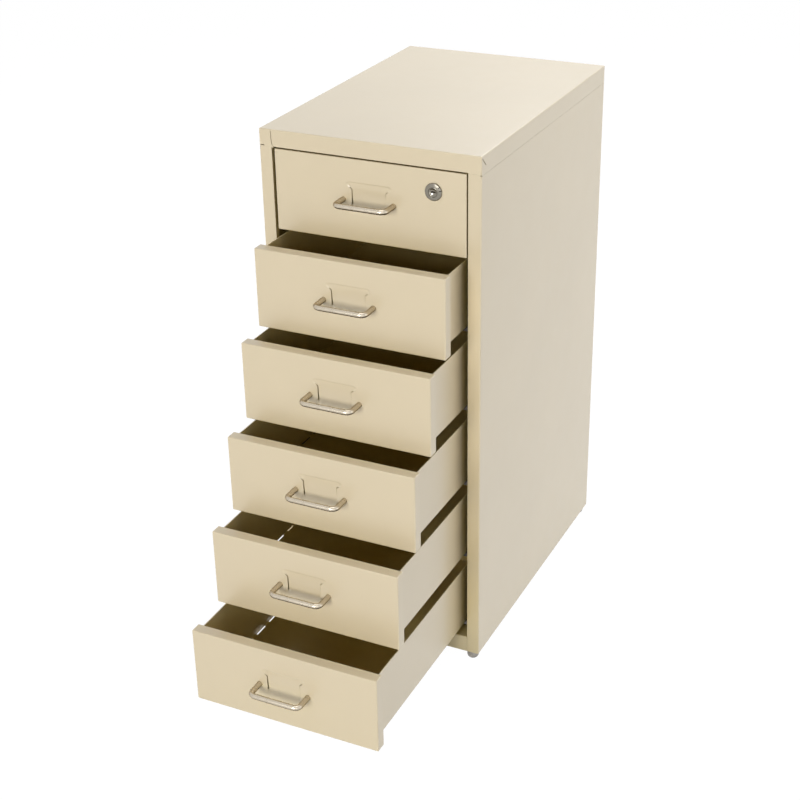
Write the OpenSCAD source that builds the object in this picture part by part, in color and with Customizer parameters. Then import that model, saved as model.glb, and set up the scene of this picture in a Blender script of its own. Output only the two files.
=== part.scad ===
// Small metal drawer cabinet: a folded sheet-metal shell with six drawers on runners,
// bow handles, label pockets and a cam lock on the top drawer.
// Millimetres, +Z up, fronts towards -Y. The origin is on the floor, at the middle of the
// space that the cabinet and its drawn-out drawers take up.

/* [Shell] */
// Width of the cabinet
cab_w = 280; // [240:5:340]
// Depth of the cabinet, front face to rear face
cab_d = 410; // [380:5:480]
// Height of the shell, without its feet
cab_h = 660; // [600:5:780]
// Thickness of the shell's sheet steel
sheet = 0.7; // [0.6:0.1:1]
// Outside radius of every bend in the shell and the drawer fronts
bend_r = 1.4; // [1.2:0.1:2.4]
// Width of the front stiles
stile_w = 16; // [14:1:20]
// Depth of the fold behind each stile
stile_fold = 7; // [5:1:8]
// Width of the flanges at the rear edges
rear_flange = 16; // [14:1:20]
// Width of the flanges under the side panels
foot_flange = 28; // [26:1:34]
// Height of the top panel's front lip
top_lip = 21; // [18:1:26]
// Height of the top panel's side and rear lips
side_lip = 22.5; // [19:0.5:28]
// Depth of the fold behind the front lip, which the lock catches on
lip_fold = 15; // [12:1:16]
// Height of the stiffening edge at the back of that fold
lip_edge = 9; // [6:1:12]
// Ends of that fold from the stiles
lip_fold_end = 4; // [2:1:8]
// Height of the step that each side panel tucks up behind the top panel's lip
tuck_h = 9; // [6:1:12]
// Height of the front rail under the lowest drawer
base_h = 22; // [18:1:28]
// Open seam between folded sheets
seam = 0.3; // [0.2:0.1:0.6]

/* [Feet] */
// Diameter of a foot
foot_d = 15; // [12:1:16]
// Height of a foot below the shell
foot_h = 11; // [9:1:14]
// Centre of a foot from the side of the cabinet
foot_side = 11; // [10:0.5:16]
// Centre of a foot from the front or the rear of the cabinet
foot_end = 8; // [8:1:40]
// Diameter of the sphere that rounds its underside
foot_dome_d = 16.8; // [15.6:0.2:20]
// Diameter of a foot's stem
foot_stem_d = 6; // [5:0.5:8]
// Length of that stem
foot_stem_len = 6; // [4:1:10]
// Overhang of the stem's barb
barb_r = 0.8; // [0.4:0.1:1.2]
// Height of the barb
barb_h = 1.2; // [0.8:0.1:2]

/* [Drawer fronts] */
// Gap at each side of a drawer front
gap_side = 2.5; // [1.5:0.5:4]
// Gap above the top drawer front
gap_top = 1.3; // [1:0.1:3]
// Gap between two drawer fronts
gap_mid = 4; // [2:0.5:6]
// Gap under the lowest drawer front
gap_low = 1.7; // [1:0.1:3]
// Depth of the folded edges of a drawer front
front_depth = 14; // [12:1:16]
// Width of the laps behind a drawer front, where the tray is welded on
lap_w = 9; // [8:1:14]

/* [Trays] */
// Thickness of the tray's sheet steel
tray_sheet = 0.6; // [0.5:0.1:0.8]
// Outside of the tray wall's hem from the side of the drawer front
tray_inset = 5; // [3:0.5:7]
// Top of the tray below the top of the drawer front
tray_drop = 3; // [1:0.5:6]
// Underside of the tray above the bottom of the drawer front
tray_rise = 11; // [9:0.5:16]
// Space between a closed tray and the rear face of the cabinet
tray_back_gap = 16; // [12:1:30]
// Height of the hem folded over the tray's walls
hem_h = 6.5; // [4:0.5:9]
// Front end of the side hems from the front of the tray
hem_start = 2; // [1:0.5:6]
// Width of the slots along the tray's folds
slot_w = 2; // [1.5:0.5:3]
// Length of those slots
slot_len = 20.5; // [12:0.5:24]
// Distance from one slot to the next
slot_pitch = 31; // [28:1:40]
// First slot from the front of the tray
slot_start = 22; // [16:1:30]

/* [How far each drawer is drawn out] */
// First drawer, counted from the top
out_1 = 0; // [0:1:300]
// Second drawer
out_2 = 57; // [0:1:300]
// Third drawer
out_3 = 99; // [0:1:300]
// Fourth drawer
out_4 = 143; // [0:1:300]
// Fifth drawer
out_5 = 191; // [0:1:300]
// Sixth drawer
out_6 = 250; // [0:1:300]

/* [Runners and glides] */
// Thickness of a runner's steel
runner_sheet = 1; // [0.8:0.1:1.2]
// Height of a runner
runner_h = 31; // [26:1:36]
// Width of a runner's flanges
runner_flange = 17; // [14:0.5:17]
// Underside of a runner above the underside of its tray
runner_lift = 5; // [4:0.5:8]
// Distance of a runner's front end from the front of the cabinet
runner_end = 9; // [8.5:0.5:12]
// Length of the glide at the rear of each tray wall
glide_len = 24; // [18:1:40]
// Rear glide from the rear end of its tray
glide_back = 2; // [1:0.5:6]
// Length of the glide at the front of each runner
front_glide_len = 44; // [30:1:60]
// Gap between that glide and a closed drawer front
front_glide_gap = 1; // [0.6:0.1:3]
// Running gap around the glides
glide_gap = 0.4; // [0.3:0.1:0.8]
// Gap under a tray above the ledges that carry it
tray_rest_gap = 0.3; // [0.2:0.1:0.6]
// Gap between a rear glide and its stop when the drawer is closed
stop_gap = 0.5; // [0.3:0.1:1]
// Wall of the glides
glide_wall = 3; // [2.5:0.5:3.5]
// Width of the ledge that reaches under the tray
ledge_w = 10; // [6:1:14]
// Thickness of that ledge
ledge_t = 5; // [4:0.5:7]
// Diameter of the peg that holds a rear glide in the tray wall
peg_d = 8; // [6:0.5:10]
// Overhang of the peg's head
peg_head_r = 1.5; // [1:0.1:2.5]
// Thickness of the peg's head
peg_head_t = 1.5; // [1:0.1:2]

/* [Handles] */
// Distance between the handle's two legs
handle_span = 64; // [48:1:96]
// Diameter of the handle's rod
rod_d = 6.5; // [6:0.5:9]
// Middle of the grip from the drawer front
handle_reach = 24; // [20:1:34]
// Radius of the handle's bends, at the middle of the rod
handle_bend = 7; // [5:0.5:10]

/* [Label pockets] */
// Distance between the pocket's two slits
pocket_w = 43; // [34:1:60]
// Width of the pressed line above the pocket
crease_w = 55; // [48:1:72]
// Pressed line below the top of the drawer front
crease_drop = 27.7; // [22:0.1:32]
// Upper end of the slits below the top of the drawer front
slit_drop = 36.5; // [34:0.5:40]
// Length of the straight part of a slit
slit_len = 18.5; // [12:0.5:22]
// Width of a slit
slit_w = 1.1; // [0.8:0.1:1.6]
// Length of the slanted upper end of a slit
slit_tail = 4.2; // [3:0.1:6]
// Slant of that upper end from upright
slit_tilt = 48; // [30:1:60]
// Depth of the pressed line
crease_t = 0.25; // [0.1:0.05:0.4]

/* [Lock] */
// Lock centre from the right edge of the drawer front
lock_side = 39.2; // [32:0.2:60]
// Lock centre below the top of the drawer front
lock_drop = 25.4; // [20:0.2:32]
// Diameter of the lock's face
lock_d = 21; // [18:0.5:24]
// Thickness of the lock's face
lock_face_t = 3; // [2:0.5:4]
// Radius of the rounded edge of the lock's face
lock_edge_r = 1; // [0.4:0.1:1.4]
// Diameter of the lock's barrel
barrel_d = 16; // [14.5:0.5:17]
// Distance across the barrel's flats
barrel_af = 14; // [13.5:0.1:14.5]
// Barrel behind its nut
barrel_proud = 0.4; // [0.2:0.1:1]
// Diameter of the turning plug
plug_d = 11; // [10:0.5:12]
// Face of the plug behind the lock's face
plug_recess = 0.4; // [0.2:0.1:1]
// Side of the square end that turns the cam
cam_square = 6.6; // [6:0.1:6.8]
// Reach of the cam from the lock's centre
cam_len = 34; // [32:0.5:37]
// Width of the cam
cam_w = 12; // [10:0.5:14]
// Thickness of the cam
cam_t = 1.6; // [1.2:0.1:2.4]
// Diameter of the cam's round end on the plug
cam_boss_d = 14; // [12:0.5:16]
// Gap between the cam and the barrel
cam_gap = 0.2; // [0.1:0.05:0.4]
// Gap between the cam and the fold that it catches on
catch_gap = 3.2; // [2:0.1:5]
// Thickness of the lock's nut
nut_t = 3; // [2.5:0.5:4]
// Distance across the flats of that nut
nut_af = 20; // [19:0.5:24]
// Width of the key slot
key_w = 5.8; // [5:0.2:7]
// Height of the key slot
key_h = 1.7; // [1:0.1:2.4]
// Depth of the key slot
key_depth = 6; // [3:0.5:10]

/* [Screws] */
// Diameter of every screw's shank
screw_d = 4; // [3:0.5:5]
// Diameter of a screw head
head_d = 8; // [7:0.5:9]
// Height of a screw head
head_h = 1.8; // [1.5:0.1:2.6]
// Length of a handle screw's shank
handle_screw_len = 10; // [8:1:14]
// Length of a shell screw's shank
shell_screw_len = 8; // [6:1:12]
// Length of the cam screw's shank
cam_screw_len = 7; // [5:1:10]
// Number of screws up each side of the back panel
back_screw_count = 4; // [2:1:6]
// First and last of them from the ends of the rear flange
back_screw_end = 45; // [30:5:80]
// Upper screws of the back panel from the sides of the cabinet
top_screw_side = 50; // [40:5:90]
// Base screws from the front and the rear of the cabinet
base_screw_end = 60; // [40:5:100]
// Radial clearance of a shaft in its hole
fit = 0.05; // [0.02:0.01:0.1]

/* [Hidden] */
$fn = 64;
// A little more than nothing, by which a cutter passes the face that it opens
eps = 1;
paint = "#dccfb2";
steel = "#c9c7c0";
zinc = "#b9bcc0";
nylon = "#8d8a86";
pale_nylon = "#d8d8d4";

outs = [out_1, out_2, out_3, out_4, out_5, out_6];
drawer_count = len(outs);

// Shell
shell_low = foot_h;
shell_top = foot_h + cab_h;
inner_w = cab_w - 2 * sheet;
opening_w = cab_w - 2 * stile_w;
opening_h = cab_h - top_lip - base_h;

// The origin lies halfway between the foremost handle and the rearmost screw head
rear_stand = head_h;
foremost = max(outs) + handle_reach + rod_d / 2;
front_y = (foremost - cab_d - rear_stand) / 2;

// Drawer fronts
front_w = opening_w - 2 * gap_side;
front_h = (opening_h - gap_top - gap_low - (drawer_count - 1) * gap_mid) / drawer_count;
drawer_pitch = front_h + gap_mid;
first_top = shell_top - top_lip - gap_top;

// Trays, in the drawer's own frame: y 0 at its face and z 0 at its top
tray_w = front_w - 2 * (tray_inset + tray_sheet);
tray_h = front_h - tray_drop - tray_rise;
tray_len = cab_d - front_depth - tray_back_gap;
tray_low = -tray_drop - tray_h;
tray_bend = 2 * tray_sheet;

// Runners, in the same frame
runner_low = tray_low + runner_lift;
runner_web_x = inner_w / 2 - runner_sheet;
runner_tip_x = inner_w / 2 - runner_flange;
glide_h = runner_h - 2 * runner_sheet - 2 * glide_gap;
glide_low = runner_low + runner_sheet + glide_gap;
glide_out_x = runner_web_x - glide_gap;
glide_y = front_depth + tray_len - glide_back - glide_len;
runner_rear = glide_y + glide_len + stop_gap + runner_sheet;
peg_z = glide_low + glide_h / 2;

// Lock, in the same frame
lock_x = front_w / 2 - lock_side;
lock_z = -lock_drop;
cam_y = max(front_depth + tray_sheet + nut_t + barrel_proud + cam_gap, lip_fold + catch_gap);
barrel_end = cam_y - cam_gap;
square_fit = 0.1;

// Folded box, open below: w by d, face up at z = h, with rounded bends of radius r
module rounded_section(w, h, r) {
    translate([-w / 2, 0])
        square([w, h - r]);
    translate([-w / 2 + r, 0])
        square([w - 2 * r, h]);
    for (side = [-1, 1])
        translate([side * (w / 2 - r), h - r])
            circle(r);
}

module rounded_block(w, d, h, r) {
    intersection() {
        translate([0, d / 2, 0])
            rotate([90, 0, 0])
                linear_extrude(d)
                    rounded_section(w, h, r);
        translate([-w / 2, 0, 0])
            rotate([90, 0, 90])
                linear_extrude(w)
                    rounded_section(d, h, r);
    }
}

module folded_pan(w, d, h, r, t) {
    difference() {
        rounded_block(w, d, h, r);
        translate([0, 0, -eps])
            rounded_block(w - 2 * t, d - 2 * t, h - t + eps, r - t);
    }
}

// Box from its low corner and its high corner
module box(low, high) {
    translate(low)
        cube(high - low);
}

// Round bar from a point along +Y
module bar_y(at, length, d) {
    translate(at)
        rotate([-90, 0, 0])
            cylinder(h = length, d = d);
}

// Round bar from a point along +X
module bar_x(at, length, d) {
    translate(at)
        rotate([0, 90, 0])
            cylinder(h = length, d = d);
}

module both_sides() {
    children();
    mirror([1, 0, 0])
        children();
}

// Pan-head screw whose head stands on z = 0 and whose shank goes down
module screw(length) {
    translate([0, 0, -length])
        cylinder(h = length + head_h / 2, d = screw_d);
    rotate_extrude()
        intersection() {
            square([head_d / 2, head_h]);
            translate([0, head_h - head_d])
                circle(head_d);
        }
}

// Shell, set with its front face at y = 0 and its underside at z = 0
module in_shell() {
    translate([0, front_y, shell_low])
        children();
}

// Heights of the back panel's side screws
function back_screw_z(k) = back_screw_end
    + k * (cab_h - side_lip - 2 * back_screw_end) / (back_screw_count - 1);
back_screw_x = cab_w / 2 - rear_flange / 2;
top_screw_z = cab_h - side_lip / 2;
base_flange = foot_flange - stile_w - seam;
base_screw_x = opening_w / 2 - seam - base_flange / 2;

module back_screw_places() {
    both_sides() {
        for (k = [0 : back_screw_count - 1])
            translate([back_screw_x, cab_d, back_screw_z(k)])
                children();
        translate([cab_w / 2 - top_screw_side, cab_d, top_screw_z])
            children();
    }
}

module back_screw_holes() {
    back_screw_places()
        bar_y([0, -shell_screw_len - eps, 0], shell_screw_len + 2 * eps, screw_d + 2 * fit);
}

module base_screw_places() {
    both_sides()
        for (y = [base_screw_end, cab_d - base_screw_end])
            translate([base_screw_x, y, 0])
                children();
}

module base_screw_holes() {
    base_screw_places()
        translate([0, 0, -eps])
            cylinder(h = 2 * sheet + 2 * eps, d = screw_d + 2 * fit);
}

module foot_places() {
    both_sides()
        for (y = [foot_end, cab_d - foot_end])
            translate([cab_w / 2 - foot_side, y, 0])
                children();
}

// Top panel: a shallow lid whose front lip folds back to a channel
module top_panel() {
    fold_x = opening_w / 2 - lip_fold_end;
    lip_z = cab_h - top_lip;
    color(paint)
        in_shell()
            difference() {
                union() {
                    difference() {
                        translate([0, cab_d / 2, cab_h - side_lip])
                            folded_pan(cab_w, cab_d, side_lip, bend_r, sheet);
                        box([-inner_w / 2, -eps, cab_h - side_lip - eps],
                            [inner_w / 2, sheet + eps, lip_z]);
                    }
                    box([-fold_x, 0, lip_z], [fold_x, lip_fold, lip_z + sheet]);
                    box([-fold_x, lip_fold - sheet, lip_z], [fold_x, lip_fold, lip_z + lip_edge]);
                }
                // Open end of the front lip, beside the wrapped corner
                box([-opening_w / 2 - 2 * seam, -eps, lip_z - eps],
                    [-opening_w / 2, sheet + eps, cab_h - bend_r]);
                back_screw_holes();
            }
}

// Right side panel: stile with its fold, side, rear flange, foot flange and tucked edge
module side_sheet() {
    edge_x = cab_w / 2;
    side_top = cab_h - side_lip - seam;
    difference() {
        union() {
            difference() {
                translate([edge_x - foot_flange, cab_d / 2, (cab_h + foot_flange) / 2])
                    rotate([0, 90, 0])
                        folded_pan(cab_h + foot_flange, cab_d, foot_flange, bend_r, sheet);
                // Stile and rear flange are narrower than the foot flange
                box([0, -eps, sheet], [edge_x - stile_w, foot_flange, cab_h + 2 * foot_flange]);
                box([0, cab_d - foot_flange, sheet],
                    [edge_x - rear_flange, cab_d + eps, cab_h + 2 * foot_flange]);
                // Clearance for the front rail
                box([0, -eps, -eps], [edge_x - stile_w, 2 * sheet, sheet + eps]);
                // Upper end below the top panel's lips
                box([0, -eps, side_top], [edge_x + eps, cab_d + eps, cab_h + 2 * foot_flange]);
            }
            // Stile up to the front lip
            box([edge_x - stile_w, 0, side_top - eps],
                [edge_x - bend_r, sheet, cab_h - top_lip - seam]);
            // Fold behind the stile
            box([edge_x - stile_w, 0, base_h + seam],
                [edge_x - stile_w + sheet, stile_fold, side_top]);
            // Edge set inwards and tucked behind the side lip
            box([edge_x - 2 * sheet, lip_fold, side_top - tuck_h],
                [edge_x - sheet / 2, cab_d - 2 * sheet - seam, side_top]);
            box([edge_x - 2 * sheet, lip_fold, side_top - tuck_h],
                [edge_x - sheet, cab_d - 2 * sheet - seam, cab_h - bend_r]);
        }
        back_screw_holes();
        base_screw_holes();
        foot_places()
            translate([0, 0, -eps])
                cylinder(h = sheet + 2 * eps, d = foot_stem_d + 2 * fit);
    }
}

module right_side_panel() {
    color(paint)
        in_shell()
            side_sheet();
}

module left_side_panel() {
    color(paint)
        in_shell()
            mirror([1, 0, 0])
                side_sheet();
}

// Back panel: a flat sheet inside the rear flanges and the top panel's rear lip
module back_panel() {
    half_w = cab_w / 2 - bend_r - seam;
    color(paint)
        in_shell()
            difference() {
                box([-half_w, cab_d - 2 * sheet, bend_r + seam],
                    [half_w, cab_d - sheet, cab_h - bend_r - seam]);
                back_screw_holes();
            }
}

// Base pan: front rail and raised floor, with flanges that rest on the foot flanges
module base_pan() {
    half_w = opening_w / 2 - seam;
    rear = cab_d - 2 * sheet;
    color(paint)
        in_shell()
            difference() {
                union() {
                    difference() {
                        translate([0, rear / 2, 0])
                            folded_pan(2 * half_w, rear, base_h, bend_r, sheet);
                        box([-half_w - eps, 2 * sheet, -eps], [half_w + eps, rear + eps, sheet]);
                    }
                    both_sides()
                        box([half_w - base_flange, 3 * sheet, sheet],
                            [half_w, rear - sheet, 2 * sheet]);
                }
                base_screw_holes();
                // Room for the feet's stems, where they stand under the pan's edge
                foot_places()
                    translate([0, 0, sheet / 2])
                        cylinder(h = foot_stem_len, d = foot_stem_d + 2 * (barb_r + seam));
            }
}

// Four plastic feet: a rounded glide with a stem pushed into the foot flange
module feet() {
    color(pale_nylon)
        in_shell()
            foot_places() {
                translate([0, 0, -foot_h])
                    rotate_extrude()
                        intersection() {
                            square([foot_d / 2, foot_h]);
                            translate([0, foot_d / 2])
                                circle(d = foot_dome_d);
                        }
                translate([0, 0, -foot_h / 2])
                    cylinder(h = foot_stem_len + foot_h / 2, d = foot_stem_d);
                translate([0, 0, sheet])
                    cylinder(h = barb_h, d1 = foot_stem_d + 2 * barb_r, d2 = foot_stem_d);
            }
}

module back_screws() {
    color(zinc)
        in_shell()
            back_screw_places()
                rotate([-90, 0, 0])
                    screw(shell_screw_len);
}

module base_screws() {
    color(zinc)
        in_shell()
            base_screw_places()
                rotate([180, 0, 0])
                    screw(shell_screw_len);
}

// Drawer's own frame at its drawn-out place: face at y = 0, top edge at z = 0
module in_drawer(i) {
    translate([0, front_y - outs[i - 1], first_top - (i - 1) * drawer_pitch])
        children();
}

// Frame of a drawer's level in the shell: front face of the shell at y = 0
module at_level(i) {
    translate([0, front_y, first_top - (i - 1) * drawer_pitch])
        children();
}

// Pair of channels along the side panels, closed behind the rear glides
module runners(i) {
    high = runner_low + runner_h;
    color(zinc)
        at_level(i)
            both_sides()
                difference() {
                    box([runner_tip_x, runner_end, runner_low],
                        [inner_w / 2, runner_rear, high]);
                    box([runner_tip_x - eps, runner_end - eps, runner_low + runner_sheet],
                        [runner_web_x, runner_rear - runner_sheet, high - runner_sheet]);
                }
}

// Pair of plastic glides in the mouths of the runners, each with a ledge under the tray
module front_glides(i) {
    wall_x = runner_tip_x - seam;
    ledge_x = tray_w / 2 - ledge_w;
    ledge_top = tray_low - tray_rest_gap;
    floor_z = runner_low + runner_sheet;
    roof_z = runner_low + runner_h - runner_sheet;
    front = front_depth + front_glide_gap;
    rear = front + front_glide_len;
    color(nylon)
        at_level(i)
            both_sides() {
                // Ledge under the tray
                box([ledge_x, front, ledge_top - ledge_t], [wall_x, rear, ledge_top]);
                // Wall beside the tray, up past the runner's lower flange
                box([wall_x - glide_wall, front, ledge_top - ledge_t],
                    [wall_x, rear, floor_z + glide_wall]);
                // Sole on that flange
                box([wall_x - glide_wall, front, floor_z],
                    [runner_web_x, rear, floor_z + glide_wall]);
                // Back against the runner's web
                box([runner_web_x - glide_wall, front, floor_z], [runner_web_x, rear, roof_z]);
            }
}

// Pan-shaped drawer front with its laps, handle holes and label pocket
module drawer_front(i) {
    half_w = front_w / 2;
    color(paint)
        in_drawer(i)
            difference() {
                union() {
                    translate([0, front_depth, -front_h / 2])
                        rotate([90, 0, 0])
                            folded_pan(front_w, front_h, front_depth, bend_r, sheet);
                    both_sides()
                        box([half_w - lap_w, front_depth - sheet, tray_low],
                            [half_w, front_depth, -tray_drop]);
                }
                both_sides() {
                    bar_y([handle_span / 2, -eps, -front_h / 2], sheet + 2 * eps,
                          screw_d + 2 * fit);
                    pocket_slit();
                }
                box([-crease_w / 2, -eps, -crease_drop - crease_t],
                    [crease_w / 2, crease_t, -crease_drop + crease_t]);
                if (i == 1)
                    bar_y([lock_x, -eps, lock_z], sheet + 2 * eps, barrel_d + 2 * fit);
            }
}

// One slit of the label pocket, with its upper end slanted outwards
module pocket_slit() {
    x = pocket_w / 2;
    box([x - slit_w / 2, -eps, -slit_drop - slit_len], [x + slit_w / 2, sheet + eps, -slit_drop]);
    translate([x, 0, -slit_drop])
        rotate([0, slit_tilt, 0])
            box([-slit_w / 2, -eps, -slit_w / 2], [slit_w / 2, sheet + eps, slit_tail]);
}

// Folded tray with hemmed walls and slotted folds
module tray(i) {
    half_w = tray_w / 2;
    slot_x = half_w - tray_bend - slot_w / 2;
    slot_count = floor((tray_len - slot_start - slot_len) / slot_pitch) + 1;
    high = -tray_drop;
    rear = front_depth + tray_len;
    color(paint)
        in_drawer(i)
            difference() {
                union() {
                    translate([0, front_depth + tray_len / 2, high])
                        rotate([180, 0, 0])
                            folded_pan(tray_w, tray_len, tray_h, tray_bend, tray_sheet);
                    // Hems, folded over outside the walls
                    both_sides()
                        box([half_w - tray_sheet / 2, front_depth + hem_start, high - hem_h],
                            [half_w + tray_sheet, rear + tray_sheet, high]);
                    box([-half_w, rear - tray_sheet / 2, high - hem_h],
                        [half_w, rear + tray_sheet, high]);
                }
                both_sides() {
                    for (k = [0 : slot_count - 1])
                        box([slot_x - slot_w / 2, front_depth + slot_start + k * slot_pitch,
                             tray_low - eps],
                            [slot_x + slot_w / 2,
                             front_depth + slot_start + k * slot_pitch + slot_len,
                             tray_low + tray_sheet + eps]);
                    bar_x([half_w - tray_sheet - eps, glide_y + glide_len / 2, peg_z],
                          tray_sheet + 2 * eps, peg_d + 2 * fit);
                }
                if (i == 1)
                    bar_y([lock_x, front_depth - eps, lock_z], tray_sheet + 2 * eps,
                          barrel_d + 2 * fit);
            }
}

// Bow handle bent from round rod, its legs bored for the screws
module handle(i) {
    leg_x = handle_span / 2;
    leg_y = -handle_reach + handle_bend;
    bend_x = leg_x - handle_bend;
    color(steel)
        in_drawer(i)
            translate([0, 0, -front_h / 2])
                difference() {
                    union() {
                        both_sides() {
                            bar_y([leg_x, leg_y, 0], -leg_y, rod_d);
                            translate([bend_x, leg_y, 0])
                                rotate([0, 0, -90])
                                    rotate_extrude(angle = 90)
                                        translate([handle_bend, 0])
                                            circle(d = rod_d);
                        }
                        bar_x([-bend_x, -handle_reach, 0], 2 * bend_x, rod_d);
                    }
                    both_sides()
                        bar_y([leg_x, -handle_screw_len - eps, 0], handle_screw_len + 2 * eps,
                              screw_d + 2 * fit);
                }
}

module handle_screws(i) {
    color(zinc)
        in_drawer(i)
            both_sides()
                translate([handle_span / 2, sheet, -front_h / 2])
                    rotate([-90, 0, 0])
                        screw(handle_screw_len);
}

// Pair of plastic shoes that ride in the runners, pegged to the tray's walls
module rear_glides(i) {
    half_w = tray_w / 2;
    pocket_x = half_w + glide_wall;
    color(nylon)
        in_drawer(i)
            both_sides() {
                difference() {
                    box([half_w, glide_y, glide_low],
                        [glide_out_x, glide_y + glide_len, glide_low + glide_h]);
                    // Open pockets above and below the middle rib
                    for (z = [glide_low + glide_wall, peg_z + glide_wall / 2])
                        box([pocket_x, glide_y + glide_wall, z],
                            [glide_out_x + eps, glide_y + glide_len - glide_wall,
                             z + glide_h / 2 - 1.5 * glide_wall]);
                }
                bar_x([half_w - tray_sheet - peg_head_t / 2, glide_y + glide_len / 2, peg_z],
                      tray_sheet + (peg_head_t + glide_wall) / 2, peg_d);
                bar_x([half_w - tray_sheet - peg_head_t, glide_y + glide_len / 2, peg_z],
                      peg_head_t, peg_d + 2 * peg_head_r);
            }
}

// Frame of the lock: its axis along y, at the face of the top drawer
module in_lock() {
    in_drawer(1)
        translate([lock_x, 0, lock_z])
            children();
}

// Lock body: round face and flattened barrel around the plug's bore
module lock_body() {
    bore_d = plug_d + 2 * fit;
    color(steel)
        in_lock()
            difference() {
                union() {
                    rotate([90, 0, 0])
                        rotate_extrude()
                            union() {
                                square([lock_d / 2 - lock_edge_r, lock_face_t]);
                                square([lock_d / 2, lock_face_t - lock_edge_r]);
                                translate([lock_d / 2 - lock_edge_r, lock_face_t - lock_edge_r])
                                    circle(lock_edge_r);
                            }
                    intersection() {
                        bar_y([0, -lock_face_t / 2, 0], barrel_end + lock_face_t / 2, barrel_d);
                        box([-barrel_af / 2, -lock_face_t, -barrel_d],
                            [barrel_af / 2, barrel_end, barrel_d]);
                    }
                }
                bar_y([0, -lock_face_t - eps, 0], barrel_end + lock_face_t + 2 * eps, bore_d);
            }
}

// Hexagonal nut that draws the lock body against the drawer front
module lock_nut() {
    color(zinc)
        in_lock()
            difference() {
                translate([0, front_depth + tray_sheet, 0])
                    rotate([-90, 0, 0])
                        cylinder(h = nut_t, d = nut_af / cos(30), $fn = 6);
                bar_y([0, front_depth, 0], nut_t + 2 * eps, barrel_d + 2 * fit);
            }
}

// Turning plug with its key slot in front and a square end behind
module lock_plug() {
    face_y = -lock_face_t + plug_recess;
    color(steel)
        in_lock()
            difference() {
                union() {
                    bar_y([0, face_y, 0], barrel_end + cam_gap - face_y, plug_d);
                    box([-cam_square / 2, barrel_end, -cam_square / 2],
                        [cam_square / 2, cam_y + cam_t, cam_square / 2]);
                }
                box([-key_w / 2, face_y - eps, -key_h / 2], [key_w / 2, face_y + key_depth, key_h / 2]);
                bar_y([0, cam_y + cam_t - cam_screw_len - eps, 0], cam_screw_len + 2 * eps,
                      screw_d + 2 * fit);
            }
}

// Cam: a flat tongue on the plug's square end, pointing left while unlocked
module lock_cam() {
    color(zinc)
        in_lock()
            difference() {
                union() {
                    bar_y([0, cam_y, 0], cam_t, cam_boss_d);
                    box([-cam_len + cam_w / 2, cam_y, -cam_w / 2], [0, cam_y + cam_t, cam_w / 2]);
                    bar_y([-cam_len + cam_w / 2, cam_y, 0], cam_t, cam_w);
                }
                box([-cam_square / 2 - square_fit, cam_y - eps, -cam_square / 2 - square_fit],
                    [cam_square / 2 + square_fit, cam_y + cam_t + eps,
                     cam_square / 2 + square_fit]);
            }
}

module cam_screw() {
    color(zinc)
        in_lock()
            translate([0, cam_y + cam_t, 0])
                rotate([-90, 0, 0])
                    screw(cam_screw_len);
}

top_panel();
left_side_panel();
right_side_panel();
back_panel();
base_pan();
feet();
back_screws();
base_screws();
runners(1);  // runners_1
runners(2);  // runners_2
runners(3);  // runners_3
runners(4);  // runners_4
runners(5);  // runners_5
runners(6);  // runners_6
front_glides(1);  // front_glides_1
front_glides(2);  // front_glides_2
front_glides(3);  // front_glides_3
front_glides(4);  // front_glides_4
front_glides(5);  // front_glides_5
front_glides(6);  // front_glides_6
drawer_front(1);  // drawer_front_1
drawer_front(2);  // drawer_front_2
drawer_front(3);  // drawer_front_3
drawer_front(4);  // drawer_front_4
drawer_front(5);  // drawer_front_5
drawer_front(6);  // drawer_front_6
tray(1);  // tray_1
tray(2);  // tray_2
tray(3);  // tray_3
tray(4);  // tray_4
tray(5);  // tray_5
tray(6);  // tray_6
handle(1);  // handle_1
handle(2);  // handle_2
handle(3);  // handle_3
handle(4);  // handle_4
handle(5);  // handle_5
handle(6);  // handle_6
handle_screws(1);  // handle_screws_1
handle_screws(2);  // handle_screws_2
handle_screws(3);  // handle_screws_3
handle_screws(4);  // handle_screws_4
handle_screws(5);  // handle_screws_5
handle_screws(6);  // handle_screws_6
rear_glides(1);  // rear_glides_1
rear_glides(2);  // rear_glides_2
rear_glides(3);  // rear_glides_3
rear_glides(4);  // rear_glides_4
rear_glides(5);  // rear_glides_5
rear_glides(6);  // rear_glides_6
lock_body();
lock_nut();
lock_plug();
lock_cam();
cam_screw();
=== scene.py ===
"""Drawer cabinet: folded-steel shell, six drawers, bow handles and a cam lock.

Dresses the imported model: painted sheet, pressed drawer fronts, bent-rod handles, a lock face,
screws and feet, and a pale studio to see them in. Metres, +Z up, drawer fronts towards -Y.
"""

import math

import bmesh
import bpy
from bpy.props import FloatProperty, FloatVectorProperty, PointerProperty
from mathutils import Matrix, Vector


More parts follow.
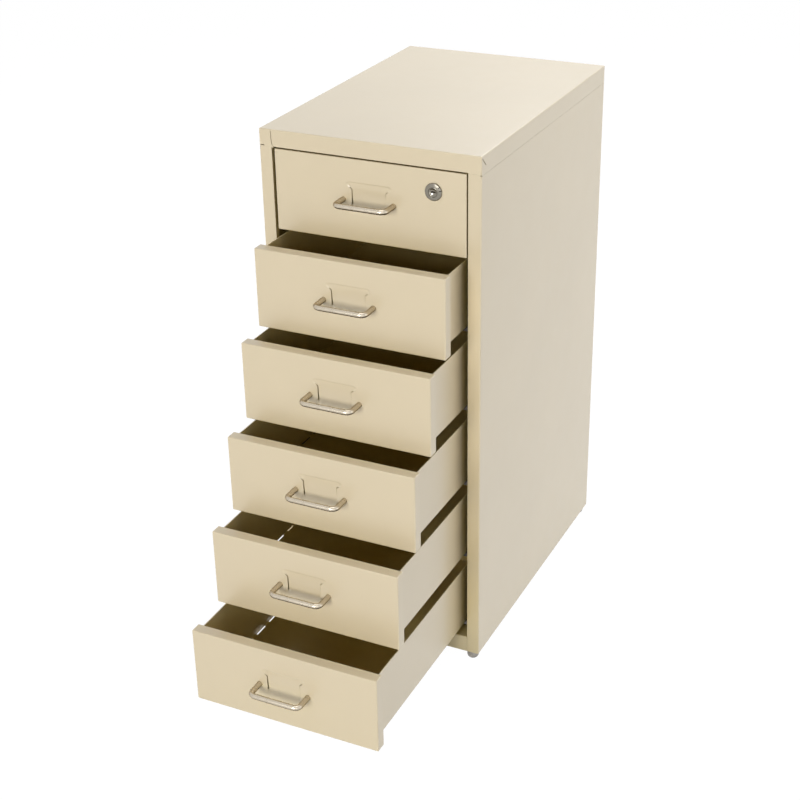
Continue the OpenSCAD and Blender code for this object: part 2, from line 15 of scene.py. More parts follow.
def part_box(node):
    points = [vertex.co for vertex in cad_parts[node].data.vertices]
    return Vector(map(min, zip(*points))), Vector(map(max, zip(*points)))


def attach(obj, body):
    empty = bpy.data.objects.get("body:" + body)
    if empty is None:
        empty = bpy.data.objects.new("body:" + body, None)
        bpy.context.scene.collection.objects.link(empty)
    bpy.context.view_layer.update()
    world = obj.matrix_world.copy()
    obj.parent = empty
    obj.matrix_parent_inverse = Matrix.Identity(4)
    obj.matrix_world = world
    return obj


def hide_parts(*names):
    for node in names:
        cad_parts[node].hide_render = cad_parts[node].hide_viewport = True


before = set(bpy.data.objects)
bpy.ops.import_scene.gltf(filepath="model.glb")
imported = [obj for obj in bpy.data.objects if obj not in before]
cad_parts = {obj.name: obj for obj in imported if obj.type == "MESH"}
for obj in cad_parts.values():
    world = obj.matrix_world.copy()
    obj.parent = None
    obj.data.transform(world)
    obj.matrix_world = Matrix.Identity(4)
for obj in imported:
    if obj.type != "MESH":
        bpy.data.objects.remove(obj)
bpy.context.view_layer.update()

bl_info = {
    "name": "Drawer Cabinet",
    "version": (1, 0, 0),
    "blender": (4, 5, 0),
    "location": "View3D > Sidebar > Cabinet",
    "description": "Builds the looks of a small metal drawer cabinet on its packed frame",
    "category": "Object",
}

DRAWERS = range(1, 7)
MM = 0.001
BEND_STEPS = 6
FOOT_RADIUS = 7.5 * MM
SCREW_HEAD = 1.8 * MM
WELD = 0.01 * MM  # vertices nearer to each other than this are one

# Painted shade in gaps: the colour it darkens to, and the distance to other surfaces within which
# it sets in
PAINT_GAP_SHADE = ((0.2, 0.12, 0.0), 6 * MM)
METAL_GAP_SHADE = ((0.02, 0.018, 0.015), 2 * MM)
PLASTIC_GAP_SHADE = ((0.06, 0.055, 0.05), 6 * MM)
# Painted shade inside the drawers: the darker, yellower colour it goes to, and the distance to
# other surfaces within which it sets in
DRAWER_INSIDE_SHADE = ((0.775, 0.63, 0.25), 300 * MM)
# Painted shade on a handle's underside: its colour, and the heights from the rod's middle between
# which it sets in
HANDLE_UNDERSIDE_SHADE = ((0.17, 0.125, 0.07), -0.2 * MM, -1.6 * MM)


# Sizes and colours

def length(name, description, default):
    """A length property, given in millimetres."""
    return FloatProperty(name=name, description=description, default=default * MM, min=0.0,
                         unit="LENGTH", precision=5)


def colour(name, description, default):
    """A colour property."""
    return FloatVectorProperty(name=name, description=description, default=default,
                               subtype="COLOR", min=0.0, max=1.0)


class CABINET_PG_sheet(bpy.types.PropertyGroup):
    """Folded sheet of the lid and the drawer fronts"""

    thickness: length("Sheet", "Thickness of the sheet steel", 0.7)
    bend: length("Bend", "Outside radius of the bends", 1.4)
    edge: length("Edge", "Rounding that the paint gives a cut edge", 0.15)
    front_lip: length("Front lip", "Height of the lid's front lip", 20.4)
    wrap_end: length("Wrapped corner", "Side lip wrapped round the lid's left front corner", 15.4)
    wrap_slit: length("Corner slit", "Open end of the seam at the wrapped corner", 6.7)
    seam: length("Seam", "Open seam between two folds", 0.65)
    play: length("Play", "Sideways play that the top drawer's front has taken up", 0.7)
    left_reach: length("Left corner", "Wrapped corner's reach below the front lip", 1.05)
    right_reach: length("Right corner", "Right corner's reach below the front lip", 0.85)


class CABINET_PG_pocket(bpy.types.PropertyGroup):
    """Label pocket pressed into a drawer front"""

    crease_drop: length("Pressed line", "Pressed line below the top of the front", 27.7)
    crease_half: length("Line's half width", "Half the width of the pressed line", 27.5)
    tail_drop: length("Tail end", "Upper end of a slit's slanted tail below the top", 34.0)
    tail_half: length("Tail's half width", "Tail's end from the middle of the front", 24.6)
    slit_drop: length("Slit", "Upper end of a slit's straight part below the top", 36.6)
    slit_end: length("Slit end", "Lower end of a slit below the top", 55.2)
    slit_half: length("Slit's half width", "Slit from the middle of the front", 21.5)
    slit_gap: length("Slit's gap", "Width of a slit", 0.6)
    fade_end: length("Fade", "Where the pressed panel is flush again, below the top", 68.0)
    crease: length("Crease", "Depth of the step at the pressed line", 0.5)
    depth: length("Depth", "Greatest depth of the pressed panel", 2.0)


class CABINET_PG_handle(bpy.types.PropertyGroup):
    """Bow handle bent from round rod"""

    rod: length("Rod", "Diameter of the rod", 6.5)
    span: length("Span", "Distance between the legs", 64.0)
    reach: length("Reach", "Middle of the grip from the drawer front", 24.0)
    bend: length("Bend", "Radius of the bends at the middle of the rod", 7.0)


class CABINET_PG_lock(bpy.types.PropertyGroup):
    """Cam lock's face and plug"""

    face: length("Face", "Diameter of the lock's face", 21.0)
    dish: length("Dish", "Diameter of the dished middle of the face", 17.0)
    plug: length("Plug", "Diameter of the turning plug", 11.0)
    hollow: length("Hollow", "Radius of the hollow in the plug's face", 8.0)
    slot_width: length("Slot width", "Width of the key slot", 1.7)
    slot_length: length("Slot length", "Length of the key slot", 5.8)
    slot_depth: length("Slot depth", "Depth of the key slot", 6.0)
    barrel: length("Barrel", "Diameter of the lock's barrel", 15.6)
    hole: length("Hole", "Diameter of the lock's hole in the drawer front", 16.0)


class CABINET_PG_colours(bpy.types.PropertyGroup):
    """Colours of the cabinet's finishes"""

    paint: colour("Paint", "Cream powder coat", (0.785, 0.66, 0.443))
    handle: colour("Handle steel", "Satin nickel on the handles", (0.54, 0.48, 0.385))
    lock: colour("Lock chrome", "Dull chrome on the lock", (0.255, 0.235, 0.195))
    zinc: colour("Zinc plate", "Zinc plate on runners, screws and the cam", (0.60, 0.61, 0.61))
    nylon: colour("Glide nylon", "Grey plastic of the glides", (0.20, 0.19, 0.18))
    foot: colour("Foot plastic", "Pale plastic of the feet", (0.50, 0.47, 0.43))
    floor: colour("Floor", "Colour of the floor", (0.68, 0.68, 0.68))


class CABINET_PG_camera(bpy.types.PropertyGroup):
    """Camera"""

    lens: FloatProperty(
        name="Lens", description="Focal length in millimetres on a 36 mm sensor", default=70.1,
        min=20.0, max=200.0)
    place: FloatVectorProperty(
        name="Place", description="Place of the camera", subtype="TRANSLATION", unit="LENGTH",
        default=(0.7713, -1.5703, 1.2015))
    azimuth: FloatProperty(
        name="Azimuth", description="Turn of the camera to the right of straight in front",
        subtype="ANGLE", default=math.radians(26.088))
    elevation: FloatProperty(
        name="Elevation", description="Angle by which the camera looks down", subtype="ANGLE",
        default=math.radians(26.866))
    roll: FloatProperty(
        name="Roll", description="Turn of the camera about its view", subtype="ANGLE",
        default=math.radians(-1.12))


class CABINET_PG_settings(bpy.types.PropertyGroup):
    """All settings of the cabinet"""

    sheet: PointerProperty(type=CABINET_PG_sheet)
    pocket: PointerProperty(type=CABINET_PG_pocket)
    handle: PointerProperty(type=CABINET_PG_handle)
    lock: PointerProperty(type=CABINET_PG_lock)
    colours: PointerProperty(type=CABINET_PG_colours)
    camera: PointerProperty(type=CABINET_PG_camera)


# Materials

def new_material(name):
    """Node material with a Principled shader: the material, its shader and its node tree."""
    material = bpy.data.materials.new(name)
    material.use_nodes = True
    tree = material.node_tree
    tree.nodes.clear()
    shader = tree.nodes.new("ShaderNodeBsdfPrincipled")
    output = tree.nodes.new("ShaderNodeOutputMaterial")
    tree.links.new(shader.outputs["BSDF"], output.inputs["Surface"])
    return material, shader, tree


def set_inputs(node, values):
    """Sets the node's sockets, given by name."""
    for name, value in values.items():
        node.inputs[name].default_value = value


def noise(tree, scale, detail=3.0, stretch=(1.0, 1.0, 1.0)):
    """Noise in the piece's own coordinates; scale is in cells to the metre."""
    where = tree.nodes.new("ShaderNodeTexCoord")
    mapping = tree.nodes.new("ShaderNodeMapping")
    set_inputs(mapping, {"Scale": stretch})
    tree.links.new(where.outputs["Object"], mapping.inputs["Vector"])
    texture = tree.nodes.new("ShaderNodeTexNoise")
    set_inputs(texture, {"Scale": scale, "Detail": detail})
    tree.links.new(mapping.outputs["Vector"], texture.inputs["Vector"])
    return texture.outputs["Fac"]


def remap(tree, value, start, end, low=0.0, high=1.0):
    """The value's range from start to end mapped to low ... high, and held beyond it."""
    node = tree.nodes.new("ShaderNodeMapRange")
    set_inputs(node, {"From Min": start, "From Max": end, "To Min": low, "To Max": high})
    tree.links.new(value, node.inputs["Value"])
    return node.outputs["Result"]


def spread(tree, texture, low=0.0, high=1.0):
    """The usual range of a noise mapped to low ... high."""
    return remap(tree, texture, 0.3, 0.7, low, high)


def blend(tree, factor, first, second):
    """Colour from first to second as the factor goes from 0 to 1; each is a socket or RGB."""
    mix = tree.nodes.new("ShaderNodeMix")
    mix.data_type = "RGBA"
    sockets = {socket.name: socket for socket in mix.inputs if socket.enabled}
    tree.links.new(factor, sockets["Factor"])
    for socket, value in ((sockets["A"], first), (sockets["B"], second)):
        if isinstance(value, bpy.types.NodeSocket):
            tree.links.new(value, socket)
        else:
            socket.default_value = (*value, 1.0)
    return next(socket for socket in mix.outputs if socket.enabled)


def shade(tree, texture, base, change):
    """Colour that varies by a share of itself with a noise."""
    return blend(tree, spread(tree, texture), [c * (1 - change) for c in base],
                 [min(1.0, c * (1 + change)) for c in base])


def bump(tree, shader, height, distance, strength=1.0):
    """Bump of that height in metres."""
    node = tree.nodes.new("ShaderNodeBump")
    set_inputs(node, {"Strength": strength, "Distance": distance})
    tree.links.new(height, node.inputs["Height"])
    tree.links.new(node.outputs["Normal"], shader.inputs["Normal"])


def shade_crevices(tree, surface, painted_shade, reach):
    """The surface colour, fading to a painted shade where other surfaces stand within its reach.
    """
    closeness = tree.nodes.new("ShaderNodeAmbientOcclusion")
    closeness.samples = 6
    set_inputs(closeness, {"Distance": reach})
    unshaded = remap(tree, closeness.outputs["AO"], 0.1, 0.5)
    return blend(tree, unshaded, painted_shade, surface)


def shade_gaps_and_roughen(tree, shader, tone, painted_shade, texture, low, high):
    """Gives the shader its tone with painted shade in the gaps, and a roughness that follows a
    noise.
    """
    tree.links.new(shade_crevices(tree, tone, *painted_shade), shader.inputs["Base Color"])
    tree.links.new(spread(tree, texture, low, high), shader.inputs["Roughness"])


def shade_underside(tree, surface, dark, start, end):
    """The surface colour with a painted shade on the underside: darker between two heights in the
    piece.
    """
    where = tree.nodes.new("ShaderNodeTexCoord")
    split = tree.nodes.new("ShaderNodeSeparateXYZ")
    tree.links.new(where.outputs["Object"], split.inputs["Vector"])
    return blend(tree, remap(tree, split.outputs["Z"], end, start), dark, surface)


def powder_coat(base):
    """Glossy cream powder coat: faint orange peel, broad changes of tone and of gloss, and
    painted shade in gaps and inside the drawers.
    """
    material, shader, tree = new_material("cream_powder_coat")
    # Painted shade inside the drawers: darker and yellower where the walls stand near
    tone = shade_crevices(tree, shade(tree, noise(tree, 7.0), base, 0.018), *DRAWER_INSIDE_SHADE)
    # Painted shade in the gaps between parts
    shade_gaps_and_roughen(tree, shader, tone, PAINT_GAP_SHADE, noise(tree, 45.0, 4.0), 0.39, 0.45)
    bump(tree, shader, noise(tree, 620.0, 2.0), 0.00002, 0.5)
    set_inputs(shader, {"Coat Weight": 1.0, "Coat IOR": 1.6, "Coat Roughness": 0.27})
    return material


def plated(name, base, roughness, stretch, grain, change=0.06, grip=0.35,
           edge=(1.0, 1.0, 1.0), underside=None):
    """Plated metal with a drawn or brushed grain along the stretched axis."""
    material, shader, tree = new_material(name)
    set_inputs(shader, {"Metallic": 1.0, "Specular Tint": (*edge, 1.0)})
    streaks = noise(tree, grain, 5.0, stretch)
    tone = shade(tree, streaks, base, change)
    # Painted shade: darker on the underside of the rod
    if underside:
        tone = shade_underside(tree, tone, *underside)
    # Painted shade in the gaps between parts
    shade_gaps_and_roughen(tree, shader, tone, METAL_GAP_SHADE, noise(tree, 160.0, 3.0),
            roughness * 0.85, roughness * 1.2)
    bump(tree, shader, streaks, 0.00003, grip)
    return material


def moulded(name, base, roughness, subsurface=0.0):
    """Moulded plastic with a fine matt grain."""
    material, shader, tree = new_material(name)
    broad = noise(tree, 90.0)
    # Painted shade in the gaps between parts
    shade_gaps_and_roughen(tree, shader, shade(tree, broad, base, 0.05), PLASTIC_GAP_SHADE, broad,
            roughness * 0.9, roughness * 1.1)
    bump(tree, shader, noise(tree, 1500.0, 2.0), 0.00003, 0.4)
    set_inputs(shader, {"Subsurface Weight": subsurface, "Subsurface Scale": 1.0,
                        "Subsurface Radius": (0.004, 0.004, 0.0035)})
    return material


def finish(name):
    """The named finish, made once."""
    if name in bpy.data.materials:
        return bpy.data.materials[name]
    colours = bpy.context.scene.cabinet.colours
    if name == "cream_powder_coat":
        return powder_coat(colours.paint)
    if name == "satin_nickel":
        return plated(name, colours.handle, 0.28, (0.12, 1.0, 1.0), 700.0, 0.04, 0.06,
                      edge=(0.45, 0.37, 0.26), underside=HANDLE_UNDERSIDE_SHADE)
    if name == "dull_chrome":
        return plated(name, colours.lock, 0.20, (1.0, 1.0, 1.0), 500.0)
    if name == "zinc_plate":
        return plated(name, colours.zinc, 0.36, (1.0, 0.1, 1.0), 420.0, 0.10)
    if name == "grey_nylon":
        return moulded(name, colours.nylon, 0.5)
    if name == "pale_polythene":
        return moulded(name, colours.foot, 0.38, 0.3)
    raise ValueError(f"no finish is named {name}")


# Mesh tools

def new_object(name, data):
    """Object in the scene's own collection."""
    thing = bpy.data.objects.new(name, data)
    bpy.context.scene.collection.objects.link(thing)
    return thing


def to_mesh(bm, name):
    """Mesh from a bmesh, which is freed."""
    mesh = bpy.data.meshes.new(name)
    bm.to_mesh(mesh)
    bm.free()
    return mesh


def merge(bm, whole):
    """Adds a bmesh to another one and frees it."""
    mesh = to_mesh(bm, "part")
    whole.from_mesh(mesh)
    bpy.data.meshes.remove(mesh)


def smooth(mesh, angle=40.0):
    """Smooth shading, with edges sharper than the angle left sharp."""
    mesh.polygons.foreach_set("use_smooth", [True] * len(mesh.polygons))
    mesh.set_sharp_from_angle(angle=math.radians(angle))
    return mesh


def outward_mesh(bm, name, turn=Matrix()):
    """Mesh from a turned bmesh, with its faces towards the outside."""
    bmesh.ops.transform(bm, matrix=turn, verts=bm.verts)
    bmesh.ops.recalc_face_normals(bm, faces=bm.faces)
    return to_mesh(bm, name)


def baked(mesh, name, *modifiers):
    """Copy of the mesh with modifiers applied, each given as (kind, {setting: value})."""
    mesh.polygons.foreach_set("use_smooth", [True] * len(mesh.polygons))
    holder = new_object("holder", mesh)
    for kind, settings in modifiers:
        modifier = holder.modifiers.new(kind, kind)
        for key, value in settings.items():
            setattr(modifier, key, value)
    graph = bpy.context.evaluated_depsgraph_get()
    result = bpy.data.meshes.new_from_object(holder.evaluated_get(graph), depsgraph=graph)
    result.name = name
    bpy.data.objects.remove(holder)
    bpy.data.meshes.remove(mesh)
    return result


def softening(edge):
    """Modifiers for baked() that round a sheet's cut edges as its paint does."""
    return (("BEVEL", {"width": edge, "segments": 2, "limit_method": "ANGLE",
                       "angle_limit": math.radians(55)}),
            ("WEIGHTED_NORMAL", {"keep_sharp": True}))


def add_piece(name, mesh, kind, body, nodes, place=(0.0, 0.0, 0.0)):
    """Object with a finish, which rides on a body and stands for CAD nodes."""
    if not mesh.materials:
        mesh.materials.append(finish(kind))
    piece = new_object(name, mesh)
    piece.location = place
    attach(piece, body)
    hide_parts(*nodes)
    return piece


def dress(node, kind, edge):
    """Gives a CAD node its finish, and its cut edges their rounding."""
    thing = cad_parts[node]
    thing.data.materials.clear()
    thing.data.materials.append(finish(kind))
    thing.modifiers.new("weld", "WELD").merge_threshold = WELD
    bevel = thing.modifiers.new("edges", "BEVEL")
    bevel.width = edge
    bevel.segments = 2
    bevel.limit_method = "ANGLE"
    bevel.angle_limit = math.radians(50)
    thing.modifiers.new("normals", "WEIGHTED_NORMAL")


def ease(t):
    """Smooth step from 0 to 1."""
    t = min(1.0, max(0.0, t))
    return t * t * (3.0 - 2.0 * t)


def between(t, points):
    """Value at t on the line through (t, value) points, held at its ends."""
    if t <= points[0][0]:
        return points[0][1]
    for (t0, v0), (t1, v1) in zip(points, points[1:]):
        if t <= t1:
            return v0 + (v1 - v0) * (t - t0) / (t1 - t0)
    return points[-1][1]


def folded_pan(width, height, bend, columns, rows, walls, face, warp=None, skip=None,
               skip_face=None):
    """Outside of a pan: a face with four folded walls, as a bmesh in (u, v, w).

    columns and rows give the face's grid between the bends, and walls the depths w of the rings
    below the bends, each a number or a function of side and place. face(u, v) returns the
    grid's point, warp(side, t, w) a wall point's place along its side, and skip leaves quads out.
    """
    bm = bmesh.new()
    half_u, half_v = width / 2 - bend, height / 2 - bend
    grid = [[bm.verts.new(face(u, v)) for u in columns] for v in rows]
    for j in range(len(rows) - 1):
        for i in range(len(columns) - 1):
            if not (skip_face and skip_face(i, j)):
                bm.faces.new((grid[j][i], grid[j][i + 1], grid[j + 1][i + 1], grid[j + 1][i]))

    sides = (
        ("bottom", columns, lambda t, o: (t, -half_v - o)),
        ("right", rows, lambda t, o: (half_u + o, t)),
        ("top", columns[::-1], lambda t, o: (t, half_v + o)),
        ("left", rows[::-1], lambda t, o: (-half_u - o, t)),
    )
    corners = ((half_u, -half_v), (half_u, half_v), (-half_u, half_v), (-half_u, -half_v))
    border = (grid[0], [row[-1] for row in grid], grid[-1][::-1], [row[0] for row in grid[::-1]])
    arc = 5
    turns = [k * math.pi / 2 / BEND_STEPS for k in range(1, BEND_STEPS + 1)]
    rings = [(bend * math.sin(turn), bend * (1 - math.cos(turn))) for turn in turns]
    rings += [(bend, w) for w in walls]

    def loop(offset, depth):
        verts, tags = [], []
        for number, (side, points, place) in enumerate(sides):
            for index, t in enumerate(points):
                w = depth(side, t) if callable(depth) else depth
                shifted = warp(side, t, w) if warp else t
                verts.append(bm.verts.new((*place(shifted, offset), w)))
                tags.append((side, index))
            w = depth("corner", number) if callable(depth) else depth
            cu, cv = corners[number]
            for k in range(1, arc):
                angle = math.radians(-90 + 90 * number + 90 * k / arc)
                verts.append(bm.verts.new((cu + offset * math.cos(angle),
                                           cv + offset * math.sin(angle), w)))
                tags.append(("corner", number))
        return verts, tags

    previous = []
    for number in range(4):
        previous += border[number] + [border[number][-1]] * (arc - 1)
    for ring, (offset, depth) in enumerate(rings):
        current, tags = loop(offset, depth)
        count = len(current)
        for i in range(count):
            j = (i + 1) % count
            same = tags[i][0] == tags[j][0] and tags[i][0] != "corner"
            if skip and same and skip(tags[i][0], tags[i][1], ring):
                continue
            quad = []
            for vertex in (previous[i], current[i], current[j], previous[j]):
                if vertex not in quad:
                    quad.append(vertex)
            if len(quad) > 2:
                bm.faces.new(quad)
        previous = current
    return bm


def add_box(bm, low, high):
    """Closed box between two corners, added to the bmesh."""
    size = Vector(high) - Vector(low)
    matrix = Matrix.Translation((Vector(low) + Vector(high)) / 2) @ Matrix.Diagonal((*size, 1.0))
    bmesh.ops.create_cube(bm, size=1.0, matrix=matrix)


def circle(segments):
    """Points on a circle with radius 1, in equal steps."""
    turns = [2 * math.pi * k / segments for k in range(segments)]
    return [(math.cos(turn), math.sin(turn)) for turn in turns]


def bridge(bm, first, second):
    """Quads between two closed loops with as many vertices."""
    for k in range(len(first)):
        n = (k + 1) % len(first)
        bm.faces.new((first[k], first[n], second[n], second[k]))


def add_boxes(mesh, boxes):
    """Adds boxes to a mesh, each given as its two corners."""
    bm = bmesh.new()
    bm.from_mesh(mesh)
    for low, high in boxes:
        add_box(bm, low, high)
    bm.to_mesh(mesh)
    bm.free()


def add_lathe(bm, profile, segments=48):
    """Turned form about local Z from (radius, height) points, added to the bmesh."""
    rings = []
    for radius, height in profile:
        points = circle(segments) if radius > 1e-7 else [(0.0, 0.0)]
        rings.append([bm.verts.new((radius * x, radius * y, height)) for x, y in points])
    for lower, upper in zip(rings, rings[1:]):
        if len(lower) == len(upper):
            bridge(bm, lower, upper)
            continue
        for k in range(segments):
            n = (k + 1) % segments
            bm.faces.new((lower[0], upper[n], upper[k]) if len(lower) == 1 else
                         (lower[k], lower[n], upper[0]))
    return rings


# Drawer fronts

def pocket_depth(pocket, t):
    """Depth of the pressed panel at t below the top of the front."""
    step_start, step_end = pocket.crease_drop - 0.3 * MM, pocket.crease_drop + 0.6 * MM
    if t <= step_start or t >= pocket.fade_end:
        return 0.0
    if t > pocket.slit_end:
        share = (t - pocket.slit_end) / (pocket.fade_end - pocket.slit_end)
        return pocket.depth * 0.5 * (1 + math.cos(math.pi * share))
    if t < step_end:
        return pocket.crease * (t - step_start) / (step_end - step_start)
    share = (t - step_end) / (pocket.slit_end - step_end)
    steepening = 1.6
    return pocket.crease + (pocket.depth - pocket.crease) * share ** steepening


def pocket_half(pocket, t):
    """Half width of the pressed panel at t below the top of the front."""
    start = pocket.crease_drop
    return between(t, ((start, pocket.crease_half - 3.0 * MM),
                       (start + 0.8 * MM, pocket.crease_half - 1.0 * MM),
                       (start + 2.2 * MM, pocket.crease_half),
                       (start + 4.2 * MM, pocket.crease_half - 0.4 * MM),
                       (pocket.tail_drop, pocket.tail_half),
                       (pocket.slit_drop - 1.2 * MM, pocket.slit_half + 1.0 * MM),
                       (pocket.slit_drop, pocket.slit_half)))


def drawer_front_mesh(width, height, depth, sheet, pocket):
    """Pan-shaped front with its label pocket: x across, y inwards from its face, z up from its
    top edge."""
    half = pocket.slit_half
    away = [offset * MM for offset in (1.2, 2, 3, 4.5, 7)]
    edges = [-pocket.slit_gap / 2, pocket.slit_gap / 2]
    middle = [half * share for share in (0.0, 0.22, 0.44)]
    right = middle + [half + b for b in [-a for a in reversed(away)] + edges + away]
    right += [f * MM for f in (36, 45, 60, 80, 100)] + [width / 2 - sheet.bend]
    columns = [-u for u in right[:0:-1]] + right
    right_slit = len(right) - 1 + len(middle) + len(away)
    slits = (len(columns) - 2 - right_slit, right_slit)
    drops = [sheet.bend / MM, 8, 16, 23, 26, 27.0, 27.4, 27.8, 28.3, 29.2, 30.4, 31.6, 32.8, 34.0,
             35.2, 36.6, 38, 40, 42.5, 45, 47.5, 50, 52.5, 54.2, 55.2, 56, 57.2, 58.8, 60.5, 62.5,
             65, 68, 72, 80, 90, (height - sheet.bend) / MM]
    rows = [height / 2 - d * MM for d in reversed(drops)]

    def reach(u, t):
        """Where a column lies at t: columns near a slit follow the pocket's side."""
        near = abs(u) - half
        if near > away[-1] + MM:
            return u
        shift = pocket_half(pocket, t) - half
        # A slit's slanted tail is wider along its row than the straight part is
        widening = 0.8
        in_tail = pocket.tail_drop - 0.1 * MM < t < pocket.slit_drop - 0.6 * MM
        if abs(near) < pocket.slit_gap and in_tail:
            shift += near * widening
        return u + math.copysign(shift * ease(abs(u) / (half - away[-1])), u)

    def face(u, v):
        t = height / 2 - v
        x = reach(u, t)
        inside = pocket_half(pocket, t) - abs(x)
        if pocket.tail_drop <= t <= pocket.slit_end:
            share = 1.0 if inside > 0 else 0.0
        else:
            # The panel's side is soft above the slits, and softer further below them
            soft = 2.0 * MM if t < pocket.tail_drop else between(
                t, ((pocket.slit_end, 1.6 * MM), (60 * MM, 6 * MM)))
            share = ease((inside + soft) / (2 * soft))
        return (x, v, pocket_depth(pocket, t) * share)

    def cut(i, j):
        t = height / 2 - (rows[j] + rows[j + 1]) / 2
        return i in slits and pocket.tail_drop < t < pocket.slit_end

    walls = [4 * MM, 9 * MM, depth - 0.6 * MM, depth]
    bm = folded_pan(width, height, sheet.bend, columns, rows, walls, face, skip_face=cut)
    turn = Matrix(((1, 0, 0, 0), (0, 0, 1, 0), (0, 1, 0, -height / 2), (0, 0, 0, 1)))
    return outward_mesh(bm, "drawer_front", turn)


class CABINET_OT_drawer_fronts(bpy.types.Operator):
    """Builds the six drawer fronts with their label pockets"""

    bl_idname = "cabinet.drawer_fronts"
    bl_label = "Drawer fronts"

    def execute(self, context):
        sheet, pocket = context.scene.cabinet.sheet, context.scene.cabinet.pocket
        low, high = (Vector(corner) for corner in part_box("drawer_front_1"))
        size = high - low
        mesh = drawer_front_mesh(size.x, size.z, size.y, sheet, pocket)
        mesh = baked(mesh, "drawer_front",
                     ("SOLIDIFY", {"thickness": sheet.thickness, "offset": -1.0}))
        # Laps behind the front, where the tray is welded on
        lap = 9 * MM
        tray_low, tray_high = (Vector(corner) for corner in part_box("tray_1"))
        inner, outer = size.x / 2 - lap, size.x / 2 - sheet.thickness / 2
        add_boxes(mesh, [((start, size.y - sheet.thickness, tray_low.z - high.z),
                          (end, size.y, tray_high.z - high.z))
                         for start, end in ((-outer, -inner), (inner, outer))])
        soft = softening(sheet.edge)
        cutter = self.lock_bore(context, high)
        bore = ("BOOLEAN", {"object": cutter, "operation": "DIFFERENCE", "solver": "EXACT"})
        bored = baked(mesh.copy(), "drawer_front_with_lock", bore, *soft)
        plain = baked(mesh, "drawer_front", *soft)
        bpy.data.objects.remove(cutter)
        for i in DRAWERS:
            low, high = (Vector(corner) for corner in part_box(f"drawer_front_{i}"))
            mesh, shift = (bored, sheet.play) if i == 1 else (plain, 0.0)
            add_piece(f"front_{i}", mesh, "cream_powder_coat", f"drawer_{i}",
                      [f"drawer_front_{i}"], (shift, low.y, high.z))
        return {"FINISHED"}

    def lock_bore(self, context, corner):
        """Object in the shape of the lock's hole, in the place of the first front's mesh."""
        settings = context.scene.cabinet
        low, high = (Vector(edge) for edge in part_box("lock_body"))
        centre = Vector(((low.x + high.x) / 2 - settings.sheet.play, 0.0,
                         (low.z + high.z) / 2 - corner.z))
        radius = settings.lock.hole / 2
        bm = bmesh.new()
        turn = Matrix.Translation(centre) @ Matrix.Rotation(math.radians(90), 4, "X")
        bmesh.ops.create_cone(bm, cap_ends=True, segments=64, radius1=radius, radius2=radius,
                              depth=10 * MM, matrix=turn)
        return new_object("lock_bore", to_mesh(bm, "lock_bore"))


# Shell

def lid_mesh(width, depth, side_lip, sheet):
    """Shallow lid with its wrapped corner and corner slit: x across, y back, z down to 0 at
    its lowest edge."""
    bend, seam = sheet.bend, sheet.seam
    edge, ends = width / 2 - bend, depth / 2 - bend
    seam_x = -width / 2 + sheet.wrap_end
    # Short open line under the wrapped corner, at its left end
    dash = (-width / 2 + 1.8 * MM, -width / 2 + sheet.wrap_slit)
    stile_width = 16 * MM
    stile = width / 2 - stile_width
    columns = [-edge, *dash, seam_x - seam / 2, seam_x + seam / 2, -118 * MM, -60 * MM, 0.0,
               60 * MM, 118 * MM, stile - 0.2 * MM, stile + 0.2 * MM, edge]
    slit_row = -depth / 2 + 7.5 * MM
    slit_top, slit_end, dash_top = 3.6, 13.1, 20.2
    walls = [2.2, slit_top, 6.0, 8.5, 11.0, slit_end, 15.0, 17.5, 19.2, dash_top]
    rows = [-ends, slit_row - seam, slit_row + seam, -ends + 20 * MM, -120 * MM, -60 * MM, 0.0,
            60 * MM, 120 * MM, ends]

    def face(u, v):
        return (u, v, 0.0)

    def warp(side, t, w):
        # The open end of the front lip runs down beside the wrapped corner
        if side == "bottom" and abs(t - seam_x) < 2 * seam:
            return t + between(w, ((2 * MM, 0.0), (14 * MM, 0.7 * MM), (17.5 * MM, 1.1 * MM),
                                   (19.2 * MM, 2.3 * MM), (20.6 * MM, 3.4 * MM)))
        # Corner slit, slanted down and back
        if side == "right" and abs(t - slit_row) < 2 * seam:
            return t + between(w, ((slit_top * MM, -5.1 * MM), (slit_end * MM, 5.0 * MM)))
        return t

    def lower_edge(side, place):
        # Down to the stiles at the front corners, which leaves an open line between them, and
        # nearly down to the side panels
        low = side_lip + 0.15 * MM
        left, right = sheet.front_lip + sheet.left_reach, sheet.front_lip + sheet.right_reach
        if side == "bottom":
            return left if place < seam_x else right if place > stile else sheet.front_lip
        if side == "corner":
            return (right, low, low, left)[place]
        return low

    def skip(side, i, ring):
        wall = ring - BEND_STEPS
        if side == "bottom":
            return (i == 3 and wall >= 0) or (i == 1 and wall == walls.index(dash_top))
        return (side == "right" and i == 1
                and walls.index(slit_top) < wall <= walls.index(slit_end))

    rings = [w * MM for w in walls] + [lower_edge]
    bm = folded_pan(width, depth, bend, columns, rows, rings, face, warp, skip)
    turn = Matrix(((1, 0, 0, 0), (0, 1, 0, 0), (0, 0, -1, side_lip), (0, 0, 0, 1)))
    return outward_mesh(bm, "lid", turn)


